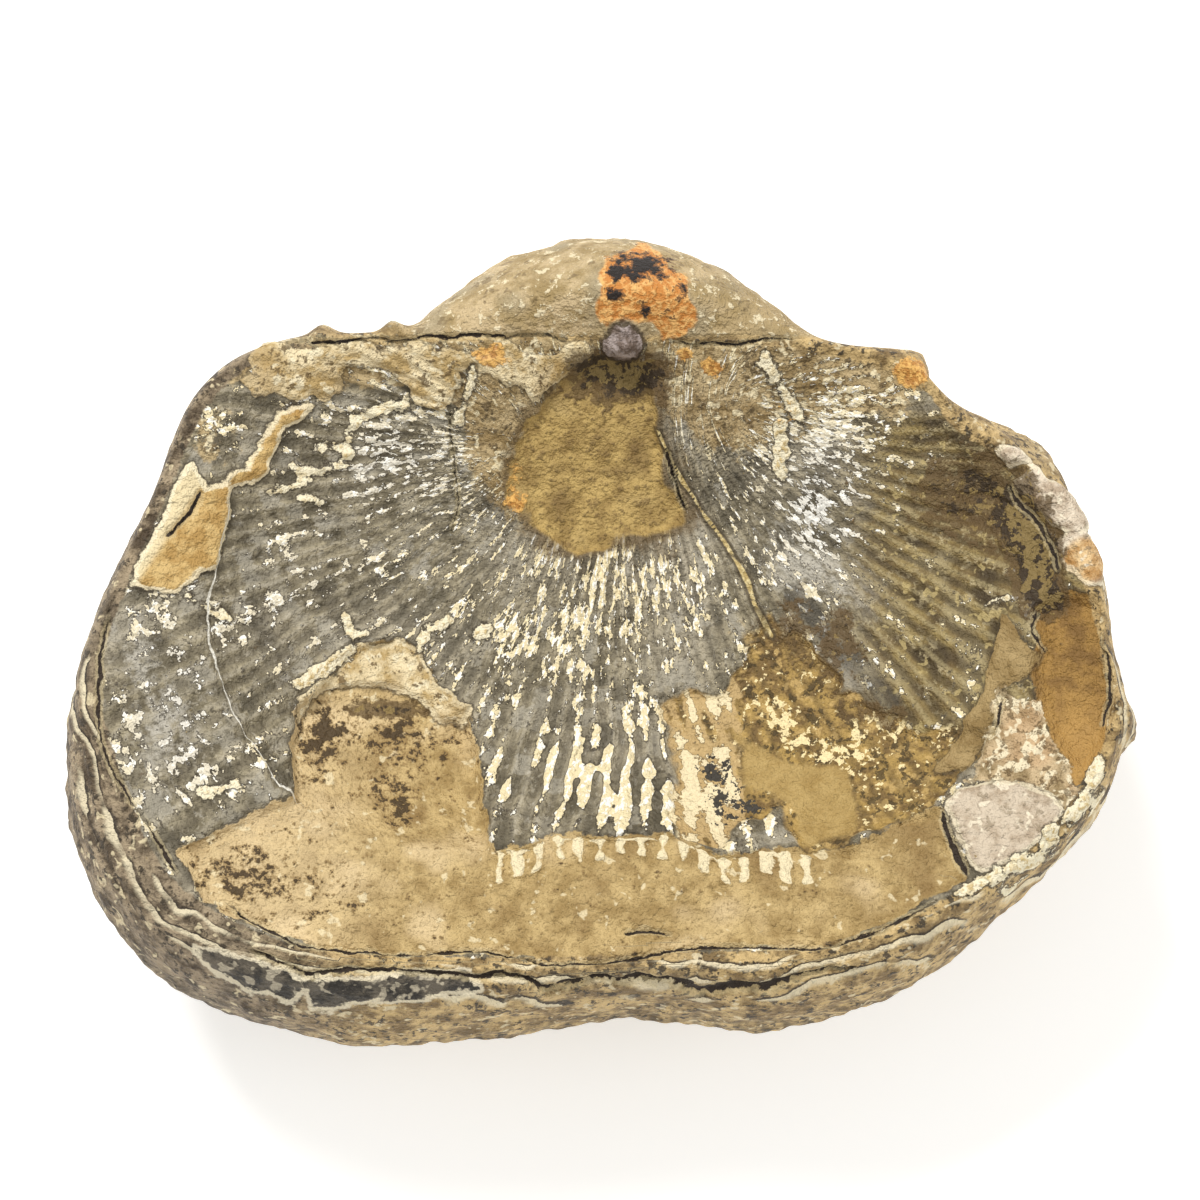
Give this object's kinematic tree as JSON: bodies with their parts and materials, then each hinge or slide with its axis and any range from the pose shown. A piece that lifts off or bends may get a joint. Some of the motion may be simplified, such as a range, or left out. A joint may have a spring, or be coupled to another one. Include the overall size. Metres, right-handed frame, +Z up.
{
  "type": "brachiopod fossil",
  "caption": "Loose fossil brachiopod shell, hollow side up, with a swollen umbo behind a straight hinge, a ribbed disc, stone infill and a flaking front margin.",
  "frame": {"origin": "centre of the bounding box in plan, at the height of the resting facet", "axes": "+X along the hinge line, +Y from the front margin to the umbo, +Z up out of the hollow dorsal side"},
  "size_m": [0.075, 0.0568, 0.0294],
  "materials": {
    "fossil_stone": "weathered matte shell calcite with ochre stone infill"
  },
  "bodies": {
    "root": {"brachiopod_fossil": "fossil_stone"}
  },
  "joints": []
}
